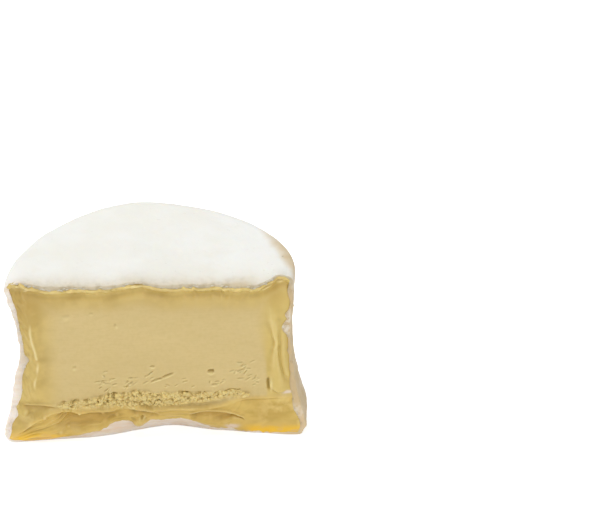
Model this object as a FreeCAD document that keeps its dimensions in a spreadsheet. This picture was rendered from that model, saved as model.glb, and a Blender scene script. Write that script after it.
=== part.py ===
"""Half of a small bloomy-rind triple-cream cheese, cut face to the front (-Y), as one solid.

A round wheel is lofted through level sections that carry its slumped wall: flared foot, pulled-in
waist and a rounded shoulder. Two blocks then trim it: one under the sagging top, and one behind the
cut, whose surface has the cream line's raised roll, the crumbly band and the rolled-under lower edge.
Millimetres, +Z up. The sections are worked out about a working origin on the cut, under the wheel's
top, and the finished solid is placed with its origin at the middle of its underside.
"""

import FreeCAD, Part
import math
import os
from FreeCAD import Vector

doc = FreeCAD.newDocument("HalfCheese")

# ---------------------------------------------------------------- driving sizes

SIZES = [
    # the wheel seen from above
    ("wheel_radius", 40.0, "mean radius of the wheel's wall"),
    ("axis_behind_cut", 4.5, "how far the wheel's middle lies behind the cut"),
    ("axis_aside", 0.4, "how far the wheel's middle lies to the right of the cut's middle"),
    ("oval_stretch", 2.4, "the wheel is this much longer and narrower than round"),
    ("oval_direction", 73.0, "direction of the long axis, degrees from +X"),
    ("lobe_stretch", 1.05, "three gentle lobes left by handling"),
    ("lobe_direction", -6.0, "direction of the first lobe, degrees from +X"),
    # the wheel seen from the side
    ("wheel_height", 47.4, "height of the top, clear of the cut"),
    ("foot_round", 2.0, "rounding between the wall and the underside"),
    ("shoulder_at_cut", 1.8, "rounding of the shoulder where the cut meets it"),
    ("shoulder_at_back", 6.0, "rounding of the shoulder at the back"),
    ("waist_left", 4.9, "how far the waist is pulled in on the left"),
    ("waist_left_level", 28.6, "level of that waist"),
    ("waist_left_spread", 17.0, "half height of that waist"),
    ("waist_right", 1.4, "how far the waist is pulled in on the right"),
    ("waist_right_level", 29.0, "level of that waist"),
    ("waist_right_spread", 12.9, "half height of that waist"),
    ("foot_left", 1.0, "how far the foot spreads on the left"),
    ("foot_left_level", 2.4, "level where it spreads most"),
    ("foot_left_spread", 3.6, "half height of that spread"),
    ("foot_right", 1.85, "how far the foot spreads on the right"),
    ("foot_right_level", 4.0, "level where it spreads most"),
    ("foot_right_spread", 6.6, "half height of that spread"),
    # the top
    ("back_drop", 0.9, "how much lower the top is towards the back"),
    ("back_drop_length", 30.0, "distance over which it drops"),
    ("lip_sag", 2.9, "how far the top sags at the cut, between its corners"),
    ("lip_sag_length", 5.0, "distance behind the cut over which it sags"),
    # the cut face
    ("corner_flare", 3.0, "how far the lower corners stand forward"),
    ("under_roll", 2.6, "how far the lower edge rolls back underneath at the middle"),
    ("under_roll_height", 5.0, "height of that roll"),
    ("lower_roll", 1.5, "how far the soft paste bulges above the lower edge"),
    ("lower_roll_level", 5.6, "level of that bulge"),
    ("lower_roll_spread", 3.0, "half height of that bulge"),
    ("crumb_recess", 0.6, "depth of the crumbly band"),
    ("crumb_level", 11.2, "level of the crumbly band"),
    ("crumb_spread", 2.0, "half height of the crumbly band"),
    ("cream_width", 7.0, "width of the cream line along the sides"),
    ("cream_bulge", 0.9, "how far the cream line stands out of the core"),
    ("edge_fold", 1.0, "how far the cut's outer edge folds back"),
    ("edge_fold_width", 1.2, "width of that fold"),
    # construction
    ("trim_margin", 8.0, "how far the trimming blocks reach past the wheel"),
    ("closing_rise", 1.0, "how far the untrimmed wheel rises above its top"),
    ("surface_step", 2.4, "spacing of the points that the trimming surfaces pass through"),
    ("section_points", 48.0, "points round each level section"),
]

sheet = doc.addObject("Spreadsheet::Sheet", "Sizes")
for row, (alias, value, note) in enumerate(SIZES, start=1):
    sheet.set(f"A{row}", alias)
    sheet.set(f"B{row}", str(value))
    sheet.set(f"C{row}", note)
    sheet.setAlias(f"B{row}", alias)
doc.recompute()


def size(alias):
    """The value that the spreadsheet holds for this size."""
    return float(sheet.get(alias))


# ---------------------------------------------------------------- form of the wheel

def bump(distance, spread):
    """A smooth bell that is 1 at distance 0 and fades over its spread."""
    return math.exp(-((distance / spread) ** 2))


def plan_radius(angle):
    """The wall's mean radius in this direction: a circle, stretched to an oval, with three lobes."""
    oval = size("oval_stretch") * math.cos(2 * (angle - math.radians(size("oval_direction"))))
    lobes = size("lobe_stretch") * math.cos(3 * (angle - math.radians(size("lobe_direction"))))
    return size("wheel_radius") + oval + lobes


def side_offset(side, level):
    """How far the wall stands outside its mean radius at this level, on the left or the right."""
    foot = size(f"foot_{side}") * bump(level - size(f"foot_{side}_level"), size(f"foot_{side}_spread"))
    waist = size(f"waist_{side}") * bump(level - size(f"waist_{side}_level"), size(f"waist_{side}_spread"))
    return foot - waist


def wall_radius(angle, level):
    """The wall's radius in this direction at this level: the two sides blended round the back."""
    left = 0.5 - 0.5 * math.cos(angle)
    offset = left * side_offset("left", level) + (1 - left) * side_offset("right", level)
    return plan_radius(angle) + offset


def on_plan(angle, radius, level):
    """A point at this radius from the wheel's axis."""
    x = size("axis_aside") + radius * math.cos(angle)
    y = size("axis_behind_cut") + radius * math.sin(angle)
    return Vector(x, y, level)


def top_level(x, y):
    """Level of the top: a slow drop to the back, and a sag at the cut that leaves its corners up."""
    behind = max(y, 0.0)
    share = min(behind / size("back_drop_length"), 1.0)
    drop = size("back_drop") * share * share * (3 - 2 * share)
    corner = min(abs(x) / size("wheel_radius"), 1.0) ** 6
    sag = size("lip_sag") * math.exp(-behind / size("lip_sag_length")) * (1 - corner)
    return size("wheel_height") - drop - sag


def shoulder_radius(angle):
    """Rounding of the shoulder: tight at the cut, wide at the back."""
    back = max(math.sin(angle), 0.0)
    return size("shoulder_at_cut") + (size("shoulder_at_back") - size("shoulder_at_cut")) * back ** 1.5


def foot_inset(level):
    """How far the foot's rounding draws the wall in at this level: most of a quarter circle."""
    below = FOOT_ARC_END * max(1 - level / size("foot_round"), 0.0)
    return size("foot_round") * (1 - math.sqrt(1 - below * below))


def shoulder_inset(angle, level):
    """How far the shoulder's rounding draws the wall in: a quarter circle, straight on near its top."""
    shoulder = shoulder_radius(angle)
    edge = on_plan(angle, plan_radius(angle) - shoulder, level)
    climb = max(1 + (level - top_level(edge.x, edge.y)) / shoulder, 0.0)
    arc = min(climb, SHOULDER_ARC_END)
    height = math.sqrt(1 - arc * arc)
    return shoulder * (1 - height + (climb - arc) * arc / height)


def section(level):
    """The level curve of the wheel's wall at this level, as a closed smooth curve."""
    count = int(size("section_points"))
    points = []
    for i in range(count):
        angle = 2 * math.pi * i / count - math.pi / 2
        radius = wall_radius(angle, level) - foot_inset(level) - shoulder_inset(angle, level)
        points.append(on_plan(angle, radius, level))
    curve = Part.BSplineCurve()
    curve.interpolate(Points=points, PeriodicFlag=True)
    return Part.Wire([curve.toShape()])


def section_levels():
    """Levels of the sections: close together in the foot and the shoulder, wide apart on the wall."""
    foot = size("foot_round")
    shoulder = size("wheel_height") - size("shoulder_at_back") - size("back_drop")
    levels = [share * foot for share in FOOT_SHARES]
    levels += [foot + share * (shoulder - foot) for share in WALL_SHARES]
    rise = size("wheel_height") + size("closing_rise") - shoulder
    return levels + [shoulder + share * rise for share in SHOULDER_SHARES]


FOOT_SHARES = (0.0, 0.3, 1.0)
WALL_SHARES = (0.1, 0.25, 0.45, 0.65, 0.85, 1.0)
SHOULDER_SHARES = (0.2, 0.4, 0.55, 0.7, 0.82, 0.9, 1.0)
FOOT_ARC_END = 0.85
SHOULDER_ARC_END = 0.94


def wheel():
    """The whole wheel, lofted through its level sections."""
    sections = []
    for number, level in enumerate(section_levels()):
        sections.append(doc.addObject("Part::Feature", f"Section{number}"))
        sections[-1].Shape = section(level)
    loft = doc.addObject("Part::Loft", "Wheel")
    loft.Sections = sections
    loft.Solid = True
    loft.MaxDegree = 3
    return loft


# ---------------------------------------------------------------- form of the cut face

def edge_distances(x, level):
    """Distances from a place on the cut to its left, right and upper edges."""
    reach = []
    for side, sign in (("left", -1), ("right", 1)):
        angle = math.asin(-size("axis_behind_cut") / size("wheel_radius"))
        if side == "left":
            angle = math.pi - angle
        edge = on_plan(angle, wall_radius(angle, level), level).x
        reach.append(sign * (edge - x))
    return reach[0], reach[1], top_level(x, 0) - level


def roll(distance, width):
    """A smooth ridge that is widest halfway across a band of this width along an edge."""
    return bump(distance - width / 2, width / 2)


def cut_depth(x, level):
    """How far behind its flat place the cut's surface lies here. What bulges forward is negative."""
    across = min(abs(x) / size("wheel_radius"), 1.2)
    high = min(max(level / size("wheel_height"), 0.0), 1.0)
    left, right, upper = edge_distances(x, level)
    depth = -size("corner_flare") * across ** 4 * (1 - high) ** 2
    under = max(1 - level / size("under_roll_height"), 0.0)
    depth += size("under_roll") * (1 - min(across, 1.0) ** 3) * under ** 1.5
    depth -= size("lower_roll") * bump(level - size("lower_roll_level"), size("lower_roll_spread"))
    inside = min(max(min(left, right) / size("cream_width"), 0.0), 1.0)
    depth += size("crumb_recess") * inside * bump(level - size("crumb_level"), size("crumb_spread"))
    sides = max(roll(left, size("cream_width")), roll(right, size("cream_width")))
    depth -= size("cream_bulge") * max(sides, 0.6 * roll(upper, size("cream_width") / 2))
    for distance in (left, right, upper):
        depth += size("edge_fold") * math.exp(-max(distance, 0.0) / size("edge_fold_width"))
    return depth


# ---------------------------------------------------------------- trimming blocks

def steps(low, high):
    """Evenly spaced values from low to high, about a surface step apart."""
    count = max(4, math.ceil((high - low) / size("surface_step")))
    return [low + (high - low) * i / count for i in range(count + 1)]


def surface_feature(name, rows):
    """A feature holding the smooth surface that passes through rows of points."""
    surface = Part.BSplineSurface()
    surface.interpolate(rows)
    feature = doc.addObject("Part::Feature", name)
    feature.Shape = surface.toShape()
    return feature


def block(name, base, direction, length):
    """The solid that a trimming surface sweeps out along a direction, its length bound to the sheet."""
    extrusion = doc.addObject("Part::Extrusion", name)
    extrusion.Base = base
    extrusion.DirMode = "Custom"
    extrusion.Dir = direction
    extrusion.Solid = True
    extrusion.setExpression("LengthFwd", length)
    return extrusion


def half_span():
    """Half the width that a trimming block needs to reach past the wheel on both sides."""
    return size("wheel_radius") + size("oval_stretch") + size("foot_right") + size("trim_margin")


def under_top():
    """Everything under the sagging top."""
    span = half_span()
    back = size("axis_behind_cut") + span
    rows = [[Vector(x, y, top_level(x, y)) for y in steps(-size("trim_margin"), back)]
            for x in steps(-span, span)]
    surface = surface_feature("TopSurface", rows)
    return block("UnderTop", surface, Vector(0, 0, -1), "Sizes.wheel_height + Sizes.trim_margin")


def behind_cut():
    """Everything behind the cut face."""
    span = half_span()
    margin = size("trim_margin") / 2
    rows = [[Vector(x, cut_depth(x, level), level) for level in steps(-margin, size("wheel_height") + margin)]
            for x in steps(-span, span)]
    surface = surface_feature("CutSurface", rows)
    reach = "Sizes.axis_behind_cut + Sizes.wheel_radius + Sizes.oval_stretch + 2 * Sizes.trim_margin"
    return block("BehindCut", surface, Vector(0, 1, 0), reach)


# ---------------------------------------------------------------- the cheese

def centred(feature):
    """Places a feature with its origin at the middle of its underside."""
    box = feature.Shape.optimalBoundingBox(False, False)
    feature.Placement.Base = Vector(-box.Center.x, -box.Center.y, -box.ZMin)
    doc.recompute()


def check(feature):
    """Stops if any object failed, or the feature isn't one valid solid."""
    for made in doc.Objects:
        if "Invalid" in made.State or "Error" in made.State:
            raise RuntimeError(f"{made.Name} failed: {made.State}")
    shape = feature.Shape
    if shape.isNull() or not shape.isValid() or len(shape.Solids) != 1:
        raise RuntimeError(f"{feature.Label} isn't one valid solid")


topped = doc.addObject("Part::Common", "ToppedWheel")
topped.Base = wheel()
topped.Tool = under_top()
cheese = doc.addObject("Part::Common", "Cheese")
cheese.Base = topped
cheese.Tool = behind_cut()
cheese.Label = "half_cheese"
doc.recompute()
centred(cheese)
check(cheese)

os.makedirs("parts", exist_ok=True)
cheese.Shape.exportStep(f"parts/{cheese.Label}.step")
box = cheese.Shape.optimalBoundingBox(False, False)
print(f"{cheese.Label}: {box.XLength:.2f} x {box.YLength:.2f} x {box.ZLength:.2f} mm,",
      f"{cheese.Shape.Volume / 1000:.2f} cm3, {len(cheese.Shape.Faces)} faces")
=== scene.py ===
"""Half of a small bloomy-rind triple-cream cheese, dressed for its looks over its construction model.

Four pieces stand for the solid half cheese: the rind, a closed skin whose lip rolls round the cut; the
paste, a closed slab whose front carries the cream line, the smooth core, the crumbly band and the soft
lower roll; the curd grains that lie in that band; and the shreds of rind that the knife left along its edge.

Shapes are worked out in millimetres in the cut's own frame: x to the right along the cut, y back into
the cheese, z up from the surface it stands on. to_frame() brings them into the shared frame, in metres.
"""

import math

import bmesh
import bpy
import numpy as np
from mathutils import Matrix, Vector


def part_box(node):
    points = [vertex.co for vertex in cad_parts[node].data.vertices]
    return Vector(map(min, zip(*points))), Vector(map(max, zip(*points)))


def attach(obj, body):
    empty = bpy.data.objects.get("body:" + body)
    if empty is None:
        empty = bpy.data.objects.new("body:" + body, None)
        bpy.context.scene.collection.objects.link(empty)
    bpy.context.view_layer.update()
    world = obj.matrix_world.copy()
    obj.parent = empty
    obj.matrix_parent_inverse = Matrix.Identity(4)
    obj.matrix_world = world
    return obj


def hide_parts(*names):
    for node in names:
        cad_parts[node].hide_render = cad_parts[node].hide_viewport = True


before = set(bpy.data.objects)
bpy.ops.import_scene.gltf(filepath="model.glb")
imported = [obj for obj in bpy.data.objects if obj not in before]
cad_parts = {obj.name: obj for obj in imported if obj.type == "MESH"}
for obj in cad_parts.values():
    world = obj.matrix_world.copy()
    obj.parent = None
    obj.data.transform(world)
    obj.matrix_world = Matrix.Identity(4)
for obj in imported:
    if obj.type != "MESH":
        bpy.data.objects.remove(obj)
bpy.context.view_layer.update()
MM = 0.001
NODE = "half_cheese"

# ---------- sizes, millimetres

LEFT_REACH = 37.5           # from the cut's own origin to the solid's left side
BACK_REACH = 47.95          # and to its back

WHEEL_RADIUS = 40.0
AXIS_BEHIND_CUT = 4.5
AXIS_ASIDE = 0.4
OVAL_STRETCH, OVAL_DIRECTION = 2.4, 73.0
LOBE_STRETCH, LOBE_DIRECTION = 1.05, -6.0
WHEEL_HEIGHT = 47.4
FOOT_ROUND = 1.6
SHOULDER_AT_CUT, SHOULDER_AT_BACK = 1.8, 6.0
BACK_DROP, BACK_DROP_LENGTH = 0.9, 30.0
BACK_HUMP, HUMP_PLACE, HUMP_SPREAD = 1.0, (-2, 44), (9, 9)
LIP_SAG_LENGTH, LIP_ROLL_LENGTH = 5.0, 1.6
LIP_ROLL_SHARE = 0.55       # of its own thickness that the lip rolls down
FOOT = {"left": (1.0, 2.4, 3.6), "right": (1.85, 4.0, 6.6)}         # spread, its level, its half height
WAIST = {"left": (4.9, 28.6, 17.0), "right": (1.4, 29.0, 12.9)}     # drawn in, its level, its half height

CORE_LEFT = -25.0
BAND_LEFT, BAND_RIGHT = -24.0, 28.0
SLAB_DEPTH = 6.0


# ---------- arithmetic on arrays

def smooth(value, low, high):
    """0 below low, 1 above high, and an S curve 3s^2 - 2s^3 between them."""
    share = np.clip((value - low) / (high - low), 0.0, 1.0)
    return share * share * (3 - 2 * share)


def fading(value, low, high):
    """1 below low and 0 above high, with the same S curve."""
    return 1 - smooth(value, low, high)


def bell(value, centre, spread):
    """exp(-((value - centre) / spread)^2): 1 at the centre, fading over the spread."""
    return np.exp(-(((value - centre) / spread) ** 2))


def within(value, *stops):
    """1 between the middle two of four stops and 0 beyond the outer two, with an S curve at each end."""
    return smooth(value, *stops[:2]) * fading(value, *stops[2:])


def spot(x, y, across, up, width, height):
    """A bell in two directions: 1 at the point across and up, fading over this width and this height."""
    return bell(x, across, width) * bell(y, up, height)


def mix(low, high, share):
    """The point this share of the way from low to high."""
    return low + (high - low) * share


def steps(first, last, count):
    """This many even steps from first to last, both left out."""
    return np.linspace(first, last, count + 2)[1:-1]


HASH_PRIMES, HASH_RANGE = (73856093, 19349663, 83492791), 0x7FFFFFFF
HASH_STIRS = ((13, 1274126177), (15, 668265263))        # shift, factor


def chance(cells, seed):
    """A number from 0 to 1 for each whole-number cell, the same every time: its coordinates are hashed."""
    total = np.full(cells.shape[:-1], seed * 7919 + 17, dtype=np.int64)
    for axis, prime in enumerate(HASH_PRIMES[: cells.shape[-1]]):
        total = total ^ (cells[..., axis].astype(np.int64) * prime)
    for shift, factor in HASH_STIRS:
        total = (total ^ (total >> shift)) * factor & HASH_RANGE
    return total / HASH_RANGE


def noise(points, size, seed):
    """Smooth noise from -1 to 1: chance at the corners of a grid of this cell size, blended by S curves."""
    scaled = points / size
    cells = np.floor(scaled).astype(np.int64)
    share = scaled - cells
    share = share * share * (3 - 2 * share)
    total = np.zeros(points.shape[:-1])
    dims = points.shape[-1]
    for corner in np.ndindex(*(2,) * dims):
        offset = np.array(corner)
        weight = np.prod(np.where(offset == 1, share, 1 - share), axis=-1)
        total += weight * chance(cells + offset, seed)
    return 2 * total - 1


def layered(points, size, seed, layers=3):
    """Noise of this size plus finer and weaker noise, each layer half the size and half the height."""
    return sum(noise(points, size / 2 ** n, seed + n) / 2 ** n for n in range(layers)) / 2


def curd_cells(points, size, seed):
    """Cells round jittered centres. For each point: its distance to the nearest centre, how much further the
    second nearest lies, which is 0 in the seams between cells, and the chance of its own cell."""
    scaled = points / size
    cells = np.floor(scaled).astype(np.int64)
    nearest = np.full(points.shape[:-1], 9.0)
    second = nearest.copy()
    own = np.zeros(points.shape[:-1])
    for step in np.ndindex(3, 3):
        cell = cells + np.array(step) - 1
        centre = cell + np.stack([chance(cell, seed), chance(cell, seed + 1)], -1)
        distance = np.linalg.norm(scaled - centre, axis=-1)
        closer = distance < nearest
        second = np.where(closer, nearest, np.minimum(second, distance))
        nearest = np.where(closer, distance, nearest)
        own = np.where(closer, chance(cell, seed + 2), own)
    return nearest, second - nearest, own


def on_cut(x, z):
    """x and z arrays as one array of points, for the noises."""
    return np.stack(np.broadcast_arrays(x, z), -1)


def line_noise(value, size, seed, layers=3):
    """Layered noise along one direction."""
    return layered(np.asarray(value, float)[..., None], size, seed, layers)


def crests(points, size, seed, layers=3):
    """Noise folded at 0, so that it has sharp crests at 1 and broad valleys down to about 0."""
    return 1 - 2 * np.abs(layered(points, size, seed, layers))


def through(value, *knots):
    """A smooth curve through knots of place and height: a cubic between each two, its slope at a knot taken
    from the neighbours on both sides."""
    place, height = np.array(knots, float).T
    slope = np.gradient(height, place)
    value = np.clip(value, place[0], place[-1])
    left = np.clip(np.searchsorted(place, value, side="right") - 1, 0, len(place) - 2)
    width = place[left + 1] - place[left]
    share = (value - place[left]) / width
    back = 1 - share
    level = height[left] * (1 + 2 * share) * back ** 2 + height[left + 1] * (1 + 2 * back) * share ** 2
    return level + width * share * back * (slope[left] * back - slope[left + 1] * share)


# ---------- form of the wheel

def side_offset(side, level):
    """How far the wall stands outside its mean radius: the foot's bell minus the waist's bell."""
    foot, foot_level, foot_spread = FOOT[side]
    waist, waist_level, waist_spread = WAIST[side]
    return foot * bell(level, foot_level, foot_spread) - waist * bell(level, waist_level, waist_spread)


def wall_radius(angle, level):
    """A circle stretched to an oval, with three lobes, plus the side offsets blended round the back."""
    oval = OVAL_STRETCH * np.cos(2 * (angle - math.radians(OVAL_DIRECTION)))
    lobes = LOBE_STRETCH * np.cos(3 * (angle - math.radians(LOBE_DIRECTION)))
    left = 0.5 - 0.5 * np.cos(angle)
    offset = left * side_offset("left", level) + (1 - left) * side_offset("right", level)
    return WHEEL_RADIUS + oval + lobes + offset


CUT_ANGLE = -math.asin(AXIS_BEHIND_CUT / WHEEL_RADIUS)      # from the axis to the cut's right end


def round_axis(radius, angle):
    """x and y at this radius and angle about the wheel's axis."""
    return AXIS_ASIDE + radius * np.cos(angle), AXIS_BEHIND_CUT + radius * np.sin(angle)


def wall_at_cut(side, level):
    """x of the wall where the cut meets it: the radius found for the angle at which y is 0."""
    sign, angle = (-1, math.pi - CUT_ANGLE) if side == "left" else (1, CUT_ANGLE)
    radius = wall_radius(angle, level)
    return AXIS_ASIDE + sign * np.sqrt(radius ** 2 - AXIS_BEHIND_CUT ** 2)


def shoulder_radius(angle):
    """Tight at the cut, wide at the back."""
    return mix(SHOULDER_AT_CUT, SHOULDER_AT_BACK, np.maximum(np.sin(angle), 0) ** 1.5)


# ---------- edges of the paste on the cut

def lip_width(x):
    """Thickness of the rind over the cut's upper edge: thin at both corners."""
    return through(x, (-38, 0.1), (-31, 0.2), (-27, 1.0), (-20, 1.2), (-6, 1.1), (1, 0.8), (8, 1.1),
                   (20, 1.0), (26, 1.3), (32, 0.7), (37, 0.2))


def top_bend(x):
    """Level of the paste's upper edge without its ripples: a knob at the left corner, a tuck in the middle,
    a dip and a peak on the right."""
    return through(x, (-37, 44.8), (-35.5, 46.2), (-34, 47.0), (-31.5, 47.7), (-29, 47.1), (-25.5, 45.9),
                   (-17, 45.6), (-9, 45.5), (-0.5, 46.7), (5, 45.4), (12, 45.4), (18, 45.3), (25, 44.7),
                   (30, 45.2), (33, 46.9), (35, 48.0), (36.4, 48.0), (38, 47.0))


def paste_top(x):
    """Level of the paste's upper edge: its bends, with ripples and torn tips."""
    torn = smooth(x, -33, -31) * mix(0.6, 1.0, smooth(x, -4, 8))
    tips = np.maximum(line_noise(x, 1.5, 15), 0) ** 1.3
    return top_bend(x) + 0.28 * line_noise(x, 4.2, 11) + torn * (0.95 * tips - 0.12)


def paste_bottom(x):
    """Level of the paste's lower edge: near 0 at the corners, drawn up in the middle round one drip."""
    level = through(x, (-38, 0.9), (-30, 0.7), (-26, 0.9), (-20, 1.5), (-16, 1.9), (-12, 2.9), (-10, 4.4),
                    (-6, 5.3), (-4.2, 4.6), (-3.3, 2.9), (-1.4, 2.7), (-0.2, 4.2), (1.2, 4.7), (3, 4.2),
                    (9.5, 4.3), (14.5, 2.6), (18.8, 0.8), (21, 1.3), (24, 0.6), (31, 0.3), (39, 0.4))
    ragged = smooth(x, -22, -12)
    level += mix(0.15, 0.5, ragged) * line_noise(x, 2.6, 21)
    return level + 0.32 * ragged * line_noise(x, 0.9, 25, 2)


def paste_left(z):
    """x of the paste's left edge: close to the wall above the waist, well inside it below, and out over the
    rind in two places."""
    width = through(z, (0, 1.0), (3.5, 1.2), (5.5, 1.1), (7.8, 1.9), (10, 1.2), (12, 1.5), (14, 1.9),
                    (16.5, 1.6), (20, 1.0), (23, 1.6), (24.6, 2.3), (26.2, 1.0), (30, 0.5), (36, 0.6),
                    (40, 0.9), (44, 0.9), (48, 0.8))
    return wall_at_cut("left", z) + np.maximum(width + 0.28 * line_noise(z, 2.0, 41), 0.25)


def paste_right(z):
    """x of the paste's right edge: the rind shows wide at the foot and in two bays above the waist."""
    width = through(z, (0, 0.9), (4, 1.2), (7.5, 1.9), (10.8, 1.6), (12, 1.2), (14, 1.2), (18, 0.7),
                    (22.5, 0.5), (27, 0.4), (30, 0.4), (31.4, 1.5), (33.6, 1.6), (34.9, 0.8), (36.3, 1.3),
                    (37.6, 0.6), (44, 0.9), (48, 0.6))
    width += mix(0.2, 0.4, smooth(z, 12, 20)) * line_noise(z, 1.7, 51)
    return wall_at_cut("right", z) - np.maximum(width, 0.2)


def cut_depth(x, z):
    """How far back the cut lies: forward at the lower left corner, rolled under in the lower middle."""
    edge = 5.0 * bell(x, 6.0, np.where(x < 6, 14.0, 10.0)) + 1.5 * bell(x, 21.0, 10.0)
    edge += 0.5 * line_noise(x, 7.0, 61) - 1.5 * fading(x, -36, -20) - 0.7 * smooth(x, 30, 38)
    return edge * np.clip(1 - z / 9.5, 0, 1) ** 1.5


def top_level(x, y):
    """Level of the rind's top: a slow drop to the back with a low hump there, and at the cut a sag down to
    the paste's edge, or a rise up to it, and a short roll over the lip."""
    behind = np.maximum(y, 0)
    drop = BACK_DROP * smooth(behind, 0, BACK_DROP_LENGTH)
    drop -= BACK_HUMP * spot(x, y, *HUMP_PLACE, *HUMP_SPREAD)
    lip = lip_width(x)
    sag = np.maximum(WHEEL_HEIGHT - top_bend(x) - lip, -1.2)
    level = WHEEL_HEIGHT - drop - sag * np.exp(-behind / LIP_SAG_LENGTH)
    return level - LIP_ROLL_SHARE * lip * np.exp(-behind / LIP_ROLL_LENGTH)


# ---------- meshes

MERGE_REACH = 0.002         # points closer than this become one


def to_frame(points):
    """Millimetres in the cut's frame into metres in the shared frame."""
    low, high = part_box(NODE)
    origin = np.array([low[0] / MM + LEFT_REACH, high[1] / MM - BACK_REACH, low[2] / MM])
    return (points + origin) * MM


def grid_faces(rows, columns, closed):
    """Quads between neighbouring rows and columns, numbered row by row. A closed grid joins its last column
    to its first."""
    row, column = np.indices((rows - 1, columns if closed else columns - 1))
    after = (column + 1) % columns
    quads = np.stack([row * columns + column, row * columns + after,
                      (row + 1) * columns + after, (row + 1) * columns + column], -1)
    return quads.reshape(-1, 4)


def placed(name, data):
    """A new object of this mesh, lamp or camera, in the scene."""
    made = bpy.data.objects.new(name, data)
    bpy.context.scene.collection.objects.link(made)
    return made


def make_piece(name, points, faces, values, finish):
    """A piece riding on the cheese: a closed mesh, with its numbers for each point as attributes."""
    mesh = bpy.data.meshes.new(name)
    mesh.from_pydata(to_frame(points.reshape(-1, 3)).tolist(), [], [tuple(f) for f in faces])
    for label, numbers in values.items():
        layer = mesh.attributes.new(label, "FLOAT", "POINT")
        layer.data.foreach_set("value", numbers.reshape(-1).astype(np.float32))
    mesh.polygons.foreach_set("use_smooth", np.ones(len(mesh.polygons), dtype=bool))
    mesh.materials.append(finish)
    close(mesh)
    piece = placed(name, mesh)
    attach(piece, "root")
    return piece


def close(mesh):
    """Merges the doubled points of seams and poles, and turns all faces outwards."""
    shell = bmesh.new()
    shell.from_mesh(mesh)
    bmesh.ops.remove_doubles(shell, verts=shell.verts, dist=MERGE_REACH * MM)
    bmesh.ops.recalc_face_normals(shell, faces=shell.faces)
    shell.to_mesh(mesh)
    shell.free()


def outward(points):
    """Roughly out of the cheese: away from the axis on the wall, upwards on the top, and evenly between."""
    radial = points[..., :2] - np.array([AXIS_ASIDE, AXIS_BEHIND_CUT])
    length = np.linalg.norm(radial, axis=-1, keepdims=True)
    lift = smooth(points[..., 2:], WHEEL_HEIGHT - 7, WHEEL_HEIGHT - 0.5)
    return np.concatenate([radial / np.maximum(length, 10.0) * (1 - lift), lift], -1)


# ---------- the rind

DEPTH_ROWS, RIM_ROWS, CAP_ROWS = 92, 15, 4
FOOT_COLUMNS, WALL_COLUMNS, SHOULDER_COLUMNS, TOP_COLUMNS, BASE_COLUMNS = 7, 140, 10, 330, 160
RIM_OVERLAP = 0.45          # how far the rind's lip reaches in under the paste's edge
RIM_BULGE = 0.3             # how far the lip stands forward
RECESS = 2.5                # how far behind the lip the skin closes, inside the paste
BEND_LENGTH = 9.0           # over which the cut's bends die out in the skin behind it
CAP_MIDDLE = (3.0, 23.0)    # where that hidden wall draws together


def side_of_rind(side, depth):
    """Foot, wall and shoulder columns of one side for each depth share: the wall radius carried round the
    axis from the cut to the back, with quarter circles at its foot and its shoulder."""
    middle = mix(CUT_ANGLE, math.pi / 2, depth)[:, None]
    middle = math.pi - middle if side == "left" else middle
    shoulder = shoulder_radius(middle)
    inner = wall_radius(middle, WHEEL_HEIGHT - shoulder) - shoulder
    high = top_level(*round_axis(inner, middle)) - shoulder
    turn = np.linspace(0, math.pi / 2, FOOT_COLUMNS)
    foot_levels = FOOT_ROUND * (1 - np.cos(turn)) + 0 * middle
    wall_levels = mix(FOOT_ROUND, high, steps(0, 1, WALL_COLUMNS))
    rise = np.linspace(0, math.pi / 2, SHOULDER_COLUMNS)
    levels = np.concatenate([foot_levels, wall_levels, high + shoulder * np.sin(rise)], 1)
    inset = np.concatenate([FOOT_ROUND * (1 - np.sin(turn)) + 0 * middle, 0 * wall_levels,
                            shoulder * (1 - np.cos(rise))], 1)
    first = -np.arcsin(AXIS_BEHIND_CUT / wall_radius(middle[0], levels))
    angle = mix(first, math.pi / 2, depth[:, None])
    angle = math.pi - angle if side == "left" else angle
    radius = wall_radius(angle, np.minimum(levels, high)) - inset
    return np.stack([*round_axis(radius, angle), levels], -1)


def rind_sections():
    """Closed loops from the cut to the back: base, right side up, top, left side down."""
    depth = np.linspace(0, 1, DEPTH_ROWS) ** 1.5
    right, left = side_of_rind("right", depth), side_of_rind("left", depth)
    top = mix(right[:, -1:], left[:, -1:], steps(0, 1, TOP_COLUMNS)[:, None])
    top[..., 2] = top_level(top[..., 0], top[..., 1])
    base = mix(left[:, :1], right[:, :1], steps(0, 1, BASE_COLUMNS)[:, None])
    loops = np.concatenate([base, right, top, left[:, ::-1]], 1)
    shift = cut_depth(loops[:1, :, 0], loops[:1, :, 2])
    loops[..., 1] += shift * np.exp(-np.maximum(loops[..., 1], 0) / BEND_LENGTH)
    return loops


def paste_outline():
    """The paste's edge, point for point beside the rind's columns, drawn in by the lip's overlap."""
    levels = steps(FOOT_ROUND, WHEEL_HEIGHT - SHOULDER_AT_CUT, WALL_COLUMNS)
    right = np.stack([paste_right(levels) - RIM_OVERLAP, levels], -1)
    left = np.stack([paste_left(levels) + RIM_OVERLAP, levels], -1)[::-1]
    across = steps(right[-1, 0], left[0, 0], TOP_COLUMNS)
    top = np.stack([across, paste_top(across) - RIM_OVERLAP], -1)
    across = steps(left[-1, 0], right[0, 0], BASE_COLUMNS)
    base = np.stack([across, paste_bottom(across) + RIM_OVERLAP], -1)
    return np.concatenate([base, steps(base[-1], right[0], FOOT_COLUMNS),
                           right, steps(right[-1], top[0], SHOULDER_COLUMNS),
                           top, steps(top[-1], left[0], SHOULDER_COLUMNS),
                           left, steps(left[-1], base[0], FOOT_COLUMNS)])


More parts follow.
